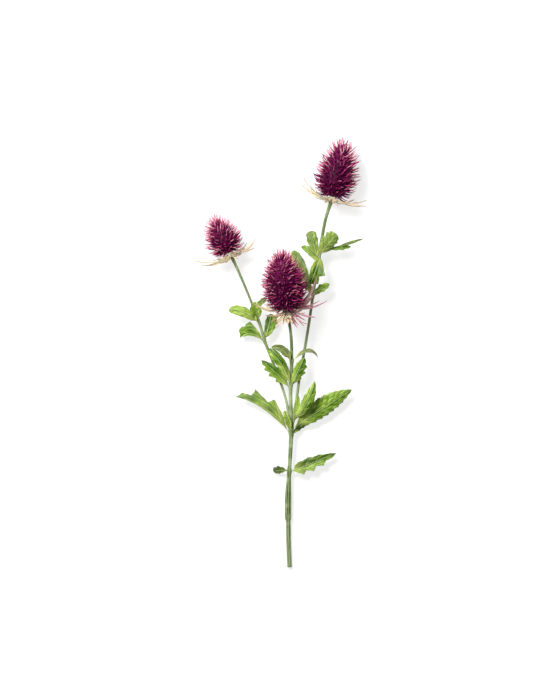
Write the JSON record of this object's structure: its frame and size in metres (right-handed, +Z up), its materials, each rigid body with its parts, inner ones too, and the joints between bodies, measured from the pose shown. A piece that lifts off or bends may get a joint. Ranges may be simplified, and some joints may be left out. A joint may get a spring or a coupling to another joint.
{
  "type": "thistle flower stem",
  "caption": "Cut thistle spray lying flat: a forked green stem with spiny burgundy flower heads, pale narrow bracts under each head and toothed green leaves.",
  "frame": {"origin": "centre of the bounding box at table level", "axes": "+Y along the stem from its cut foot towards the highest flower head, +X to the right as the spray is seen from above with its foot nearest, +Z up from the table"},
  "size_m": [0.1926, 0.4741, 0.0774],
  "materials": {
    "stem_green": "matt green stalk with faint ribs",
    "leaf_green": "soft satin leaf, paler along the veins",
    "bract_cream": "matt cream, tinged with pink towards the tips",
    "head_burgundy": "satin dark burgundy spines, greyer at the points"
  },
  "bodies": {
    "root": {"stem": "stem_green", "head_front": "head_burgundy", "head_top": "head_burgundy", "head_left": "head_burgundy", "bracts_front": "bract_cream", "bracts_top": "bract_cream", "bracts_left": "bract_cream", "leaf_foot_1": "leaf_green", "leaf_foot_2": "leaf_green", "leaf_fork_1": "leaf_green", "leaf_fork_2": "leaf_green", "leaf_fork_3": "leaf_green", "leaf_fork_4": "leaf_green", "leaf_fork_5": "leaf_green", "leaf_fork_6": "leaf_green", "leaf_front_1": "leaf_green", "leaf_front_2": "leaf_green", "leaf_front_3": "leaf_green", "leaf_front_4": "leaf_green", "leaf_front_5": "leaf_green", "leaf_left_1": "leaf_green", "leaf_left_2": "leaf_green", "leaf_left_3": "leaf_green", "leaf_left_4": "leaf_green", "leaf_left_5": "leaf_green", "leaf_right_1": "leaf_green", "leaf_right_2": "leaf_green", "leaf_right_3": "leaf_green", "leaf_right_4": "leaf_green", "leaf_right_5": "leaf_green", "leaf_right_6": "leaf_green", "leaf_right_7": "leaf_green", "leaf_right_8": "leaf_green"}
  },
  "joints": []
}
